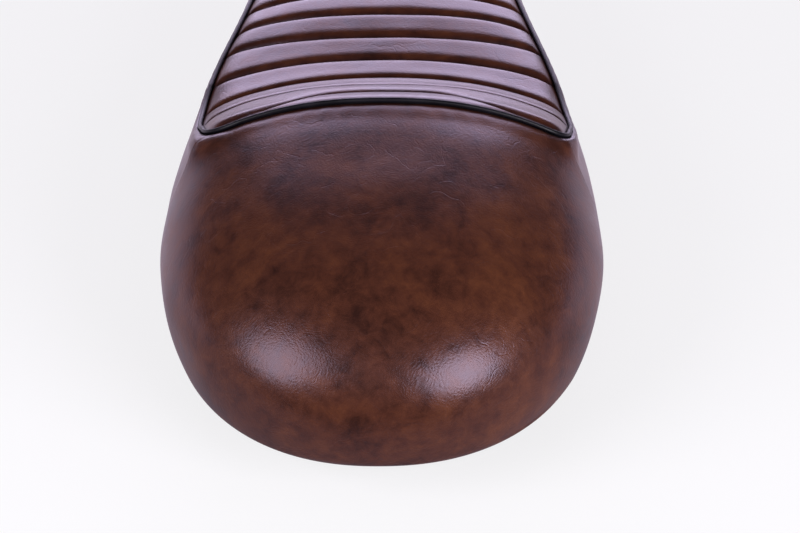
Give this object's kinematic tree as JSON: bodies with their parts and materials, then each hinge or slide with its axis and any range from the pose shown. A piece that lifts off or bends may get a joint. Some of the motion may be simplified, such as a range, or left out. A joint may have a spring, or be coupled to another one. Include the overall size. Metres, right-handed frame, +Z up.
{
  "type": "cafe racer seat",
  "caption": "Single motorcycle seat with a rounded rear hump, a ribbed tuck-and-roll top edged with piping, and studs under its pan for bolting to a frame.",
  "frame": {"origin": "centre of the four mounting studs, in the plane of the lower faces of the nuts that lock them, where the bike's tabs bear", "axes": "+Y forward towards the tank, +Z up, +X to the rider's right; the hump faces -Y"},
  "size_m": [0.25, 0.6, 0.1444],
  "materials": {
    "brown_leatherette": "mottled antique brown, fine pebble grain, satin",
    "black_piping": "black coated piping, satin",
    "pan_plastic": "black moulded, matt",
    "zinc_steel": "zinc plated",
    "black_rubber": "moulded, matt",
    "rivet_aluminium": "plain",
    "foam": "open foam, hidden by the cover"
  },
  "bodies": {
    "root": {"base_pan": "pan_plastic", "front_mount_strap": "zinc_steel", "rear_mount_strap": "zinc_steel", "mount_studs": "zinc_steel", "stud_washers": "zinc_steel", "stud_nuts": "zinc_steel", "rubber_buffers": "black_rubber", "cover_rivets": "rivet_aluminium", "seat_foam": "foam", "hump_foam": "foam", "ribbed_panel": "brown_leatherette", "hump_cover": "brown_leatherette", "side_panel_left": "brown_leatherette", "side_panel_right": "brown_leatherette", "nose_panel": "brown_leatherette", "piping": "black_piping"}
  },
  "joints": []
}
